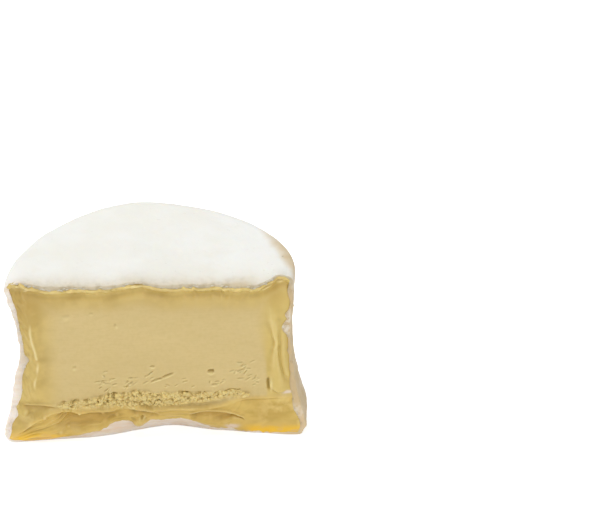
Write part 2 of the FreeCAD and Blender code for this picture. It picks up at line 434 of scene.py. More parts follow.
def rind_points():
    """The skin: its rolled lip runs from the hidden wall inside the paste round to the first section, as
    half an oval between the paste's edge and the wall, and the sections follow it to the back. Also each
    point's share of the cut edge's colour, which is partly painted shade: all of it on the lip, and a margin
    of painted shade that fades out over the top behind it."""
    loops = rind_sections()
    outer, inner = loops[0], paste_outline()
    inner = np.stack([inner[:, 0], cut_depth(inner[:, 0], inner[:, 1]), inner[:, 1]], -1)
    turn = np.linspace(0, math.pi, RIM_ROWS + 1)[1:, None, None]
    rim = mix(outer, inner, (1 - np.cos(turn)) / 2)
    bulge = RIM_BULGE * (1 + 0.6 * line_noise(np.arange(len(outer)), 9.0, 71))
    rim[..., 1] -= bulge * np.sin(turn[..., 0]) ** 0.7
    cap = np.linspace(1, 0, CAP_ROWS)[:, None, None]
    middle = np.array([CAP_MIDDLE[0], RECESS, CAP_MIDDLE[1]])
    behind = mix(middle, inner + np.array([0, RECESS, 0]), cap)
    behind[..., 1] = np.maximum(behind[..., 1], inner[:, 1] + RECESS * 0.9)
    behind[-1] = middle
    points = np.concatenate([behind[::-1], rim[::-1], loops])
    cut = np.concatenate([np.ones(CAP_ROWS), smooth(turn[::-1, 0, 0], math.radians(5), math.radians(60)),
                          np.zeros(DEPTH_ROWS)])[:, None]
    x = points[..., 0]
    # margin and fade: how strong the band of painted shade on the top behind the lip is, and how far back it
    # fades
    margin = through(x, (-38, 0.9), (-31, 1.0), (-26, 0.9), (-18, 1.0), (-8, 0.85), (0, 0.8), (9, 0.95),
                     (19, 1.15), (25, 1.6), (28, 1.1), (31, 0.5), (38, 0.4)) + 0.25 * line_noise(x, 5, 77)
    fade = 2.5 - 0.8 * bell(x, 20, 8) - fading(x, -35, -30)
    cut = np.maximum(cut, margin * np.exp(-np.maximum(points[..., 1] + 0.3, 0) / fade))
    return points, cut


def rind_waves(points):
    """How far each point of the skin is pushed outwards: long waves with finer ones on them, more on the
    wall and calm beside the cut; short ripples along the lip; folds under it near the base; and on the left,
    beside the cut, a bulge at the waist and a dent under the corner."""
    x, y, z = np.moveaxis(points, -1, 0)
    behind = np.maximum(y, 0)
    wall = fading(z, WHEEL_HEIGHT - 6, WHEEL_HEIGHT - 1)
    waves = 0.42 * layered(points, 11.0, 81) + 0.12 * layered(points, 2.6, 85)
    waves += 0.3 * wall * layered(points * np.array([1, 1, 2.4]), 6.0, 91)
    waves *= mix(0.35, 1.0, smooth(behind, 0, 5))
    waves += 0.45 * layered(points * np.array([1, 0.4, 1]), 1.8, 95) * np.exp(-behind / 1.2)
    under = fading(z, 4, 8) * np.exp(-behind / 3)
    waves += 0.9 * under * layered(points * np.array([0.6, 0.4, 1.6]), 2.4, 99)
    return waves + (0.8 * bell(z, 19.8, 3.0) - 0.45 * bell(z, 44.6, 1.4)) * beside_left(x, behind)


def beside_left(x, behind):
    """1 at the cut's left end, fading towards the middle and the back."""
    return smooth(-x, 30, 36) * np.exp(-behind / 4)


def make_rind(finish):
    """The rind: the closed skin with its waves, drawn in at the foot of the left corner, and flat where it
    stands."""
    points, cut = rind_points()
    skin = np.concatenate([np.zeros(CAP_ROWS), np.linspace(0, 1, RIM_ROWS), np.ones(DEPTH_ROWS)])[:, None]
    beside = beside_left(points[..., 0], np.maximum(points[..., 1], 0))
    waves = rind_waves(points) * smooth(skin, 0.2, 1.0) * smooth(points[..., 2], 0.0, 1.2)
    points = points + outward(points) * waves[..., None]
    points[..., 0] += 0.8 * fading(points[..., 2], 0.5, 4.5) * beside
    points[..., 2] = np.maximum(points[..., 2], 0)
    rows, columns = points.shape[:2]
    piece = make_piece("rind", points, grid_faces(rows, columns, True), {"cut": cut}, finish)
    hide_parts(NODE)


# ---------- the paste

FACE_COLUMNS, FACE_ROWS = 380, 246
FIRST_GUESS = (-33.0, 37.0, 45.0)           # left, right and top of the front's grid before it settles
SETTLING_ROUNDS = 5         # in which that grid finds its four curved edges
LEAST_CLEARANCE = 0.05      # the paste never reaches lower than this over what the cheese stands on
EDGE_TURN, EDGE_TURN_REACH = 0.5, 0.28      # how far the paste's border rolls back, and over what width
EDGE_RINGS = ((0.28, 0.45), (0.9, 1.6), (1.6, SLAB_DEPTH))      # drawn in, and set back
FACE_REACH = (38.0, math.inf, 23.0)         # from the middle of the face to its border, along x, y and z
# the tones are the painted shade of places deeper than the mean surface and the painted light of prouder ones
TONE_ROUNDS, TONE_HEIGHT = 14, 0.3          # rounds for the mean surface; full tone this far off it
# what each point tells the paste's colours: the cream line, the lower roll, the crumbly band, painted shade
# in all that lies deeper than its surroundings, painted shade in the large hollows, clear fat, the cut's
# right part, painted highlights on shining crests, strips of rind dragged over the paste, and painted light
# on all that stands out
FACE_VALUES = ("cream", "lower", "crumb", "hollow", "shade", "amber", "right", "gleam", "skin", "pale")
PITS = (  # x, level, half length, half width, slant in degrees, depth: the ones that stand out
    (16.8, 19.7, 0.7, 0.36, 2, 1.3), (5.6, 18.7, 1.5, 0.22, 24, 0.6), (3.2, 17.6, 0.9, 0.2, 14, 0.4),
    (1.7, 21.5, 0.6, 0.26, 6, 0.35), (-1.5, 6.2, 0.6, 0.3, 75, 0.4), (31.5, 15.4, 1.8, 0.34, 91, 1.0),
    (-19.7, 37.3, 1.0, 0.5, 10, 0.12), (-13.2, 37.9, 0.5, 0.25, 0, 0.14), (-18.3, 21.9, 0.45, 0.4, 0, 0.18),
    (-7.2, 34.3, 0.3, 0.45, 25, 0.18), (17.5, 15.6, 0.7, 0.26, 8, 0.35), (-1.2, 46.4, 1.6, 0.35, 4, 0.9),
    (31.6, 44.6, 1.4, 0.3, 32, 0.6), (-31.6, 47.2, 0.35, 0.3, 0, 0.7), (-28.9, 46.5, 0.7, 0.35, -28, 0.8),
    (-29.6, 45.7, 0.45, 0.3, 10, 0.35), (35.2, 46.6, 0.8, 0.4, 6, 0.6),
)
SCRATCH_GROUPS = (  # how many, middle, level, spread along, spread up
    (16, -10.3, 17.2, 1.6, 1.1), (8, -4.2, 16.8, 1.2, 0.9), (9, 1.0, 17.3, 2.6, 1.3),
    (5, 11.5, 16.2, 3.5, 0.9), (14, 23.9, 20.2, 1.5, 1.3), (5, 19.0, 16.4, 1.0, 0.5),
    (8, 28.0, 16.8, 1.6, 1.0),
)
NUBS = (  # x, level, size, height: pinched tips of soft paste
    (-26.6, 7.6, 0.5, 0.8), (-11.5, 8.1, 0.45, 0.5), (-17.6, 8.6, 0.4, 0.45), (-33.6, 10.6, 0.6, 0.4),
    (-31.4, 8.7, 0.7, 0.4), (-2.4, 4.4, 1.4, 0.9), (-8.0, 7.4, 0.5, 0.35), (-22.6, 3.1, 0.6, 0.4),
    (-20.6, 4.6, 0.5, 0.3),
)


def ridge_level(x):
    """Level of the lower roll's crest: up from the left corner, level in the middle, higher on the right."""
    level = through(x, (-37, 1.2), (-33, 3.2), (-30, 5.9), (-27, 7.4), (-25, 8.8), (-22, 9.6), (-19.5, 9.6),
                    (-17.6, 8.9), (-14.5, 9.4), (-10.5, 9.3), (-6, 10.2), (-3.2, 9.6), (0.7, 8.7), (8, 8.6),
                    (15, 8.8), (19, 9.4), (22.5, 10.7), (26, 11.2), (38, 11.4))
    return level + 0.2 * line_noise(x, 2.8, 101, 1)


def band_limits(x):
    """Lower and upper level of the crumbly band, and how strong it is along the cut."""
    low = through(x, (-24, 9.5), (-16, 9.5), (-8, 9.8), (-2, 9.1), (3, 8.8), (8, 9.2), (12, 9.8), (16, 10.5),
                  (20, 11.2), (24, 11.8), (28, 12.3))
    high = through(x, (-24, 11.1), (-17, 11.9), (-12, 13.0), (-8, 13.8), (5, 13.7), (15, 13.4), (24, 13.5),
                   (28, 12.4))
    strength = within(x, BAND_LEFT, BAND_LEFT + 3, BAND_RIGHT - 3, BAND_RIGHT)
    return low + 0.35 * line_noise(x, 2.2, 111), high + 0.7 * line_noise(x, 2.3, 115), strength


def cream_left(x, z):
    """The cream line's roll down the left side: a bell across its wandering crest, with slanted folds
    outside it. Also the thin line on the crest that shines, as a painted highlight."""
    crest = through(z, (12, -28.2), (18, -28.7), (20.5, -28.0), (23, -27.7), (27, -28.1), (31, -28.9),
                    (36, -29.1)) + 0.12 * line_noise(z, 1.8, 123)
    run = within(z, 24.4, 25.4, 33, 36) + bell(z, 22.2, 1.3) + bell(z, 17.8, 1.4)
    rise = 0.75 * bell(x, crest, 1.9) * smooth(z, 10.5, 15) * (1 - 0.6 * smooth(z, 35, 42))
    rise += 0.4 * bell(x, crest + 0.1, 0.36) * run
    folds = crests(on_cut((x + 0.4 * z + line_noise(z, 6.0, 121)) / 1.5, z / 4.8), 1.0, 125)
    rise += 0.32 * folds * fading(x, crest - 1.4, crest + 0.2) * smooth(z, 11, 14)
    return rise, bell(x, crest + 0.1, 0.26) * run


def cream_right(x, z):
    """The roll down the right side, like a drop: wide and rounded at its foot, thin above. A tuck runs down
    its outer edge with a narrow roll beyond, and beside the foot lie a dent and a bead. Also its gleam, a
    painted highlight."""
    crest = through(z, (12, 33.8), (18.4, 33.7), (22, 33.5), (25.3, 33.6), (28.2, 33.9), (31, 33.5),
                    (40, 32.8)) + 0.12 * line_noise(z, 6.0, 121)
    width = through(z, (12, 1.8), (15, 1.95), (18.4, 1.7), (22, 1.35), (25.3, 0.95), (28.2, 0.6), (32, 1.0),
                    (40, 1.3))
    foot = 12.4 + 0.3 * (x - 34.4) ** 2
    window = within(z, foot, foot + 1.1, 31, 41)
    rise = 0.95 * np.exp(-(np.abs((x - crest) / width) ** 3)) * window
    tuck = crest + width * through(z, (14, 1.3), (18.4, 1.0), (27, 0.9), (30, 1.1))
    rise += 0.5 * bell(x, tuck + 1.1, 0.75) * within(z, 15.5, 19, 28, 34)
    rise -= 0.45 * bell(x, tuck, 0.3) * within(z, 15.5, 19, 26.6, 28.2)
    rise += 0.25 * spot(x, z, 36.0, 13.2, 1.6, 0.7) - 0.4 * spot(x, z, 36.3, 16.6, 0.9, 1.7)
    return rise, 0.3 * bell(x, crest - 0.4 * width, 0.3 * width) * window * smooth(z, 19, 24)


def cream_above(x, z):
    """The cream line under the rind: an uneven swelling just below the paste's edge, a dip under it, small
    crests along the edge and lumps in the left corner."""
    under = paste_top(x) - z
    rise = 0.36 * bell(under, 0.9, 0.6) * (1 + 1.3 * line_noise(x, 2.6, 131))
    rise -= 0.55 * bell(under, 2.7, 1.1) * (1 + 0.5 * line_noise(x, 5, 133))
    rise += 0.4 * crests(on_cut(x, z * 2), 2.0, 135) * bell(under, 0.6, 0.7)
    return rise + 0.7 * layered(on_cut(x, z), 1.3, 137) * spot(x, under, -32.2, 0.4, 3.2, 1.6)


def roll_body(x, z):
    """The lower roll's own form. Above its crest a short ledge falls back to the core; below it the paste is
    scooped out and swells again towards the bottom, in layers smeared along it. Also its shade."""
    low, crest = paste_bottom(x), ridge_level(x)
    above = z - crest
    share = (z - low) / np.maximum(crest - low, 1.5)
    left, scooped, right = within(x, -37, -31, -24, -20), within(x, -25, -20, -10, -4), smooth(x, 20, 27)
    forward = through(x, (-37, 0.3), (-31, 0.9), (-26, 1.5), (-15, 1.8), (-6, 1.5), (2, 1.0), (12, 0.9),
                      (20, 0.8), (26, 0.5), (38, 0.4))
    ledge = np.exp(-(np.maximum(above, 0) / mix(1.1, 0.8, right)) ** 1.4)
    scoop = smooth(-above, 0, mix(0.9, 1.8, scooped)) * mix(0.4, 0.95, scooped) * (1 - 0.6 * right)
    swell = mix(0.3, 0.7, scooped) * fading(share, 0.12, 0.55) * (1 - right)
    rise = forward * np.where(above > 0, ledge, 1 - scoop + swell)
    shade = 0.85 * scooped * smooth(-above, 0.1, 0.9) * smooth(share, 0.25, 0.65)
    inside = fading(above, -0.4, 0.3)
    layers = crests(on_cut(x / 7.5, share * mix(4.2, 1.6, right) * mix(1.0, 1.5, left)), 1.0, 141)
    rise += mix(0.26, 0.36, left) * (1 - 0.6 * right) * layers * inside
    rise += 0.3 * right * inside * layered(on_cut(x, z / 1.5), 3.2, 147, 2)
    rise += 0.35 * layered(on_cut(x, z), 1.7, 145) * bell(above, 1.3, 1.0) * within(x, -24, -20, 20, 27)
    return rise, np.maximum(shade, 0.6 * left * inside * np.clip(-layers, 0, 1))


def roll_hollows(x, z):
    """Three hollows in the lower roll: under the fold at the left, under the notch in the middle and in the
    lens on the right. Each has a crisp upper edge under a thin lip, is at its full depth a short drop below
    the edge and fades out over its reach. Also their shade."""
    fold = through(x, (-33, 11.2), (-30.4, 10.8), (-27.5, 10.5), (-25, 10.4), (-22, 10.2), (-19, 9.8))
    fold += 0.15 * line_noise(x, 1.6, 143)
    fold_reach = np.clip(fold - ridge_level(x) - 1.0, 0.7, 1.9)
    lens = through(x, (10.5, 6.4), (13.6, 7.6), (17, 7.8), (20.8, 7.2), (22.5, 6.6), (24, 5.8), (25.5, 4.6))
    lens_reach = mix(3.9, 0.9, smooth(x, 19, 24.5)) + 1.2 * bell(x, 18.3, 1.9)
    lens_run = within(x, 10.3, 12.5, 23.6, 25.4) * mix(1.0, 1.25, smooth(x, 14, 21))
    notch = through(x, (-7, 9.7), (-3, 9.2), (0.6, 8.3), (3, 7.2))
    rise, shade = 0 * z, 0 * z
    for edge, drop, reach, lip, depth, run, dark in (
            (fold, 0.25, fold_reach, 0.3, 0.3 + 0.12 * fold_reach, within(x, -32.3, -31, -26, -21.5), 0.8),
            (lens, 0.35, lens_reach, 0.45, 1.05, lens_run, 1.0),
            (notch, 0.3, 2.4, 0.25, 0.6, within(x, -7, -3, 1.5, 3.4), 0.9)):
        below = edge - z
        hollow = within(below, 0, drop, drop, reach)
        rise += (lip * bell(below, -0.25, 0.3) - depth * hollow) * run
        shade = np.maximum(shade, np.minimum(dark * hollow * run, 1))
    return rise, shade


def roll_relief(x, z):
    """The soft lower roll: its body and hollows, a slanted lump and a rough patch on the fold at the left,
    crests at the notch, a fine line under the crest on the right, a valley over it in the middle, and nubs.
    Also its painted shade, and that valley, which takes painted shade too."""
    body, shade = roll_body(x, z)
    hollows, hollow_shade = roll_hollows(x, z)
    above = z - ridge_level(x)
    line = bell(above, -0.35, 0.16) * within(x, 22, 25, 33, 36)
    valley = bell(above, 0.95, 0.6) * within(x, -5, 1, 17, 22)
    rise = body + hollows - 0.16 * line - 0.5 * valley
    rise += 0.8 * spot(x + 0.7 * z, z - 0.5 * x, -26.6, 22.6, 1.5, 2.6)
    rise += 0.5 * layered(on_cut(x, z), 1.7, 139) * spot(x, z, -30.0, 7.6, 3.6, 2.0)
    rise += 0.4 * crests(on_cut(x, z), 1.3, 149) * spot(x, z, -1.6, 6.2, 2.6, 2.4)
    for across, level, size, height in NUBS:
        rise += height * np.exp(-(((x - across) ** 2 + (z - level) ** 2) / size ** 2) ** 1.5)
    return rise, np.maximum(np.maximum(shade, hollow_shade), 0.5 * line), valley


def crumb_relief(x, z):
    """The crumbly band: rounded curds of two sizes, each standing at its own height, coarse and loose above,
    finer and pressed together below. Crevices gape between some of them, in clusters, and a broken brink
    runs along the top. Also the band itself, and its dark places: painted shade in the crevices and along
    the brink, and darker olive patches."""
    low, high, strength = band_limits(x)
    band = within(z, low - 0.5, low + 0.7, high - 0.5, high + 0.3) * strength
    loose = smooth((z - low) / (high - low), 0.1, 0.5) * mix(1.0, 0.75, smooth(x, -8, 8))
    place = on_cut(x, z)
    warped = place + 1.5 * np.stack([layered(place, 1.5, seed, 4) for seed in (151, 153)], -1)
    near, seam, own = curd_cells(warped, 1.65, 155)
    small, _, other = curd_cells(warped, 0.8, 161)
    curds = 1.1 * own + 0.9 * np.sqrt(np.clip(1.1 - near * near, 0, 1.1)) - 0.9
    grain = 0.6 * other + 0.4 * (0.5 - small) + 0.45 * crests(place, 0.9, 167) - 0.4
    crevice = fading(seam, 0.05, 0.26) * smooth(layered(place, 2.2, 169, 4), -0.05, 0.25)
    olive = 0.6 * smooth(layered(place, 1.3, 175), 0.08, 0.4)
    brink = bell(z, high - 0.2, 0.34) * smooth(line_noise(x, 1.2, 173), -0.05, 0.3) * strength
    rise = mix(0.1, 1.0, loose) * (curds - 0.8 * crevice) + mix(0.4, 1.0, loose) * grain
    dark = band * mix(0.25, 1.0, loose) * np.maximum(crevice, olive)
    return band * rise - 0.5 * brink, band, np.maximum(dark, 0.8 * brink)


def scratched():
    """Short slanted scratches that the knife tore over the crumbly band, in loose groups, as rows like those
    of PITS."""
    dice = np.random.default_rng(23)
    rows = []
    for count, across, level, along, up in SCRATCH_GROUPS:
        spots = dice.normal((across, level), (along, up), (count, 2))
        sizes = dice.uniform((0.25, 0.13), (0.95, 0.18), (count, 2))
        slants, depths = dice.normal(21, 22, count), dice.uniform(0.13, 0.34, count)
        rows.append(np.column_stack([spots, sizes, slants, depths]))
    return np.concatenate(rows)


def pit_relief(x, z):
    """Pits and scratches: slanted oval bells, each with a raised rim on its lower side. Also their dark
    middles, painted shade, and their bright rims, a painted highlight."""
    rise, dark, bright = 0 * x, 0 * x, 0 * x
    for across, level, length, width, slant, depth in (*PITS, *scratched()):
        turn = math.radians(slant)
        along = (x - across) * math.cos(turn) + (z - level) * math.sin(turn)
        over = (z - level) * math.cos(turn) - (x - across) * math.sin(turn)
        ragged = 1 + 0.4 * line_noise(along + across, 0.8, 171)
        pit = np.exp(-((along / length) ** 4) - (over / (width * ragged)) ** 2)
        rim = np.exp(-((along / length) ** 2) - ((over + 1.8 * width) / (1.1 * width)) ** 2)
        rise += 0.5 * depth * rim - depth * pit
        dark = np.maximum(dark, pit * min(0.7 * depth + 0.2 * (depth > 0.5), 0.9))
        bright = np.maximum(bright, rim * min(3 * depth, 0.8))
    return rise, dark, bright


def face_relief(x, z):
    """How far each place of the cut stands forward, with all its FACE_VALUES except the pale tone, a painted
    light.
    """
    crumbs, band, seams = crumb_relief(x, z)
    pits, dark, bright = pit_relief(x, z)
    left, left_gleam = cream_left(x, z)
    right, right_gleam = cream_right(x, z)
    roll, shade, valley = roll_relief(x, z)
    rise = crumbs + pits + left + right + cream_above(x, z) + roll
    rise += 0.16 * layered(on_cut(x / 2.0, z), 6.0, 181)

    under, above, high = paste_top(x) - z, z - ridge_level(x), smooth(z, 20, 34)
    wander = 0.5 * line_noise(z, 5.0, 191)
    line = fading(x, -28.5, CORE_LEFT + 4.5 + wander)
    line = np.maximum(line, smooth(x, mix(30.7, 27.8, high) + wander, mix(31.5, 33.6, high) + wander))
    line = np.maximum(line, fading(under, 2.8, 8.5))
    soft = fading(above, -0.3, 1.2)
    # corners: painted shade in the upper left corner, under the right peak and in a band below the upper edge
    corners = 0.6 * spot(x, z, -30, 42, 5, 6) + 0.8 * bell(x, 34, 2.8) * smooth(z, 34, 45)
    corners = np.maximum(corners, 0.22 * bell(under, 4.5, 3.5))
    amber = smooth(x, 23, 28) * fading(z, 1.2, 4.2) + fading(x, -27, -18) * fading(z, 1.0, 4.2)
    skin = bell(x, 36.4, 1.9) ** 3 * bell(z, 12.5 + 0.5 * smooth(x, 34.4, 36.4), 0.42)
    skin += bell(x, 21.8, 2.6) ** 3 * bell(z, 2.3 + 0.6 * line_noise(x, 1.1, 195), 0.6)
    # hollow and shade carry painted shade, gleam a painted highlight
    return rise, {"cream": line * (1 - soft), "lower": soft, "crumb": band, "amber": amber,
                  "hollow": np.maximum(np.maximum(seams, dark), 0.5 * valley),
                  "shade": np.maximum(shade, corners), "right": smooth(x, 24, 34),
                  "gleam": np.maximum(left_gleam + right_gleam, bright), "skin": np.clip(1.6 * skin, 0, 1)}


def spread(field, rounds):
    """The field averaged with its neighbours, weights 1 2 1 along both axes, this many times over."""
    for _ in range(rounds):
        for axis in (0, 1):
            wide = np.pad(field, [(1, 1) if axis == a else (0, 0) for a in (0, 1)], mode="edge")
            first, last = (wide[:-2], wide[2:]) if axis == 0 else (wide[:, :-2], wide[:, 2:])
            field = (first + 2 * field + last) / 4
    return field


def face_levels():
    """Shares of the way up the cut, closest in the crumbly band, the lower roll and at the top edge."""
    fine = np.linspace(0, 1, 2000)
    density = 1 + 1.2 * bell(fine, 0.22, 0.12) + 0.6 * bell(fine, 0.08, 0.1) + 0.7 * bell(fine, 1.0, 0.06)
    reached = np.cumsum(density)
    return np.interp(np.linspace(0, 1, FACE_ROWS), (reached - reached[0]) / (reached[-1] - reached[0]), fine)


def tones(x, z, rise, hollow):
    """The hollow and the pale tone: painted shade and painted light. Places deeper than the mean surface
    round them are hollow and take painted shade, less so on the right and over the lower roll's crest at the
    left;
    places that stand out from it are pale with painted light, and so is the upper edge, in patches."""
    proud = (rise - spread(rise, TONE_ROUNDS)) / TONE_HEIGHT
    beyond = bell(z - ridge_level(x), 1.4, 1.3) * fading(x, -12, -6)
    sunk = np.clip(-proud, 0, 0.7) * (1 - 0.9 * beyond) * mix(1, 0.4, smooth(x, 29, 31))
    patches = 0.8 + 0.9 * layered(on_cut(x, 1.5 * z), 1.8, 197)
    pale = np.maximum(np.clip(proud, 0, 1), patches * bell(paste_top(x) - z, 0.6, 0.95))
    return {"hollow": np.maximum(hollow, sunk), "pale": pale}


def paste_points():
    """The slab's front, a grid stretched between the paste's four edges, and the rings that carry its border
    in and back to the flat rear."""
    across, upward = np.linspace(0, 1, FACE_COLUMNS)[None], face_levels()[:, None]
    left, right, top = FIRST_GUESS
    x, z = mix(left, right, across) + 0 * upward, top * upward + 0 * across
    for _ in range(SETTLING_ROUNDS):
        z = mix(paste_bottom(x), paste_top(x), upward)
        x = mix(paste_left(z), paste_right(z), across)
    rise, values = face_relief(x, z)
    values |= tones(x, z, rise, values["hollow"])
    depth = cut_depth(x, z) - rise
    for gap in (x - paste_left(z), paste_right(z) - x, paste_top(x) - z, z - paste_bottom(x)):
        depth = depth + EDGE_TURN * np.exp(-np.maximum(gap, 0) / EDGE_TURN_REACH)
    points = np.stack([x, depth, z], -1)
    middle = (CAP_MIDDLE[0], 0, CAP_MIDDLE[1])
    for inward, back in EDGE_RINGS:
        points = np.pad(points, ((1, 1), (1, 1), (0, 0)), mode="edge")
        border = np.ones(points.shape[:2], dtype=bool)
        border[1:-1, 1:-1] = False
        points[border] += inward * ((middle - points[border]) / FACE_REACH) ** 3
        points[border, 1] = SLAB_DEPTH if back == SLAB_DEPTH else points[border, 1] + back
    points[..., 2] = np.maximum(points[..., 2], LEAST_CLEARANCE)
    rings = len(EDGE_RINGS)
    return points, {label: np.pad(numbers, rings, mode="edge") for label, numbers in values.items()}


def make_paste(finish):
    """The paste: the front grid and its rings, closed by one flat rear face."""
    points, values = paste_points()
    rows, columns = points.shape[:2]
    number = np.arange(rows * columns).reshape(rows, columns)
    edge = np.concatenate([number[0, :-1], number[:-1, -1], number[-1, :0:-1], number[:0:-1, 0]])
    faces = [*grid_faces(rows, columns, False).tolist(), edge[::-1].tolist()]
    piece = make_piece("paste", points, faces, values, finish)
    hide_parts(NODE)


# ---------- curd grains and rind shreds

BALL_ROWS, BALL_COLUMNS = 7, 10
BALL_SHIFT = 7.3            # so that each lump meets noise of its own
GRAIN_TRIES = 430           # fewer are kept where the band is weak
TOP_SHREDS, CORNER_SHREDS, SIDE_SHREDS = 46, 10, 26
SHRED_CUT = 0.75            # how far the shreds take the cut edge's colour


def make_lumps(name, spots, sizes, turns, seed, roughness, numbers, finish):
    """A piece of many closed lumps: spheres in latitude and longitude, squashed to their sizes, swollen and
    dented by noise, turned in the plane of the cut and set at their spots. All share the same numbers."""
    latitude = np.linspace(0, math.pi, BALL_ROWS)[:, None]
    longitude = np.linspace(0, 2 * math.pi, BALL_COLUMNS, endpoint=False)
    ball = np.stack([np.sin(latitude) * np.cos(longitude), np.sin(latitude) * np.sin(longitude),
                     np.cos(latitude) + 0 * longitude], -1)
    shift = BALL_SHIFT * np.arange(len(spots))[:, None, None, None]
    points = ball * (1 + roughness * layered(ball + shift, 1.1, seed, 2))[..., None] * sizes[:, None, None]
    cos, sin = np.cos(turns)[:, None, None], np.sin(turns)[:, None, None]
    x, y, z = np.moveaxis(points, -1, 0)
    points = np.stack([x * cos - z * sin, y, x * sin + z * cos], -1) + spots[:, None, None]
    starts = np.arange(len(spots))[:, None, None] * BALL_ROWS * BALL_COLUMNS
    faces = (grid_faces(BALL_ROWS, BALL_COLUMNS, True) + starts).reshape(-1, 4)
    values = {label: np.full(points.shape[:-1], number) for label, number in numbers.items()}
    make_piece(name, points, faces, values, finish)


def make_grains(finish):
    """Loose curd grains, scattered over the crumbly band and pressed into the surface under them."""
    dice = np.random.default_rng(7)
    x = dice.uniform(BAND_LEFT + 1, BAND_RIGHT - 1, GRAIN_TRIES)
    low, high, strength = band_limits(x)
    z = mix(low + 0.4, high - 0.3, dice.uniform(0, 1, GRAIN_TRIES) ** 0.8)
    kept = dice.uniform(0, 1, GRAIN_TRIES) < strength
    x, z = x[kept], z[kept]
    size = dice.uniform(0.2, 0.55, len(x)) * mix(0.7, 1.4, dice.uniform(0, 1, len(x)) ** 2)
    sizes = size[:, None] * dice.uniform((0.8, 0.6, 0.6), (1.6, 1.0, 1.1), (len(x), 3))
    spots = np.stack([x, cut_depth(x, z) - face_relief(x, z)[0] + 0.25 * size, z], -1)
    numbers = dict.fromkeys(FACE_VALUES, 0.0) | {"crumb": 1.0}
    turns = dice.uniform(-0.8, 0.8, len(x))
    make_lumps("curd_grains", spots, sizes, turns, 201, 0.6, numbers, finish)


def make_shreds(finish):
    """Shreds of rind that the knife dragged out along the cut's upper and side edges: thin lumps, long
    along the edge, half sunk in it."""
    dice = np.random.default_rng(12)
    x = np.concatenate([dice.uniform(-33, 37, TOP_SHREDS), dice.uniform(-33, -27, CORNER_SHREDS)])
    top = np.stack([x, paste_top(x) + dice.uniform(-0.35, 0.15, len(x))], -1)
    z = dice.uniform(3, 42, SIDE_SHREDS)
    left = np.stack([paste_left(z) - dice.uniform(-0.2, 0.5, SIDE_SHREDS), z], -1)
    right = np.stack([paste_right(z) + dice.uniform(-0.3, 0.5, SIDE_SHREDS), z], -1)
    x, z = np.concatenate([top, left, right]).T
    size = dice.uniform(0.14, 0.34, len(x))
    along_top = np.arange(len(x)) < len(top)
    sizes = size[:, None] * np.where(along_top[:, None], (1.7, 0.5, 0.6), (0.7, 0.5, 1.6))
    spots = np.stack([x, cut_depth(x, z) - 0.25, z], -1)
    turns = dice.uniform(-0.5, 0.5, len(x))
    make_lumps("rind_shreds", spots, sizes, turns, 231, 0.5, {"cut": SHRED_CUT}, finish)


# ---------- materials

def paint(red, green, blue):
    """A colour given by its screen values from 0 to 255, in the linear values that a shader takes."""
    share = np.array([red, green, blue]) / 255
    linear = np.where(share > 0.04045, ((share + 0.055) / 1.055) ** 2.4, share / 12.92)
    return (*linear.tolist(), 1.0)


def maths(operation, reflected=False):
    """One of Link's operators: it adds a maths node for itself and the other value."""
    def operator(self, other):
        first, second = (other, self) if reflected else (self, other)
        return self.nodes.node("ShaderNodeMath", {"operation": operation}, {0: first, 1: second})
    return operator


class Link:
    """A node's output, so that shader maths can be written as plain expressions."""

    def __init__(self, nodes, socket):
        self.nodes, self.socket = nodes, socket

    __add__ = __radd__ = maths("ADD")
    __mul__ = __rmul__ = maths("MULTIPLY")
    __sub__, __rsub__ = maths("SUBTRACT"), maths("SUBTRACT", reflected=True)
    at_least = maths("MAXIMUM")


class Nodes:
    """The node tree of a material or a world."""

    def __init__(self, owner):
        owner.use_nodes = True
        self.tree = owner.node_tree
        self.tree.nodes.clear()

    def node(self, kind, settings, inputs, output=0):
        """Adds a node: first its settings, then the value or link of each input. Returns one output, or
        nothing for a node that has none."""
        made = self.tree.nodes.new(kind)
        for label, value in settings.items():
            setattr(made, label, value)
        for label, value in inputs.items():
            if isinstance(value, Link):
                self.tree.links.new(value.socket, made.inputs[label])
            else:
                made.inputs[label].default_value = value
        return None if output is None else Link(self, made.outputs[output])

    def seen(self):
        """1 for what the camera sees directly, in a reflection or through glass, 0 for other rays."""
        camera, glossy, clear = (self.node("ShaderNodeLightPath", {}, {}, f"Is {ray} Ray")
                                 for ray in ("Camera", "Glossy", "Transmission"))
        return camera.at_least(glossy).at_least(clear)


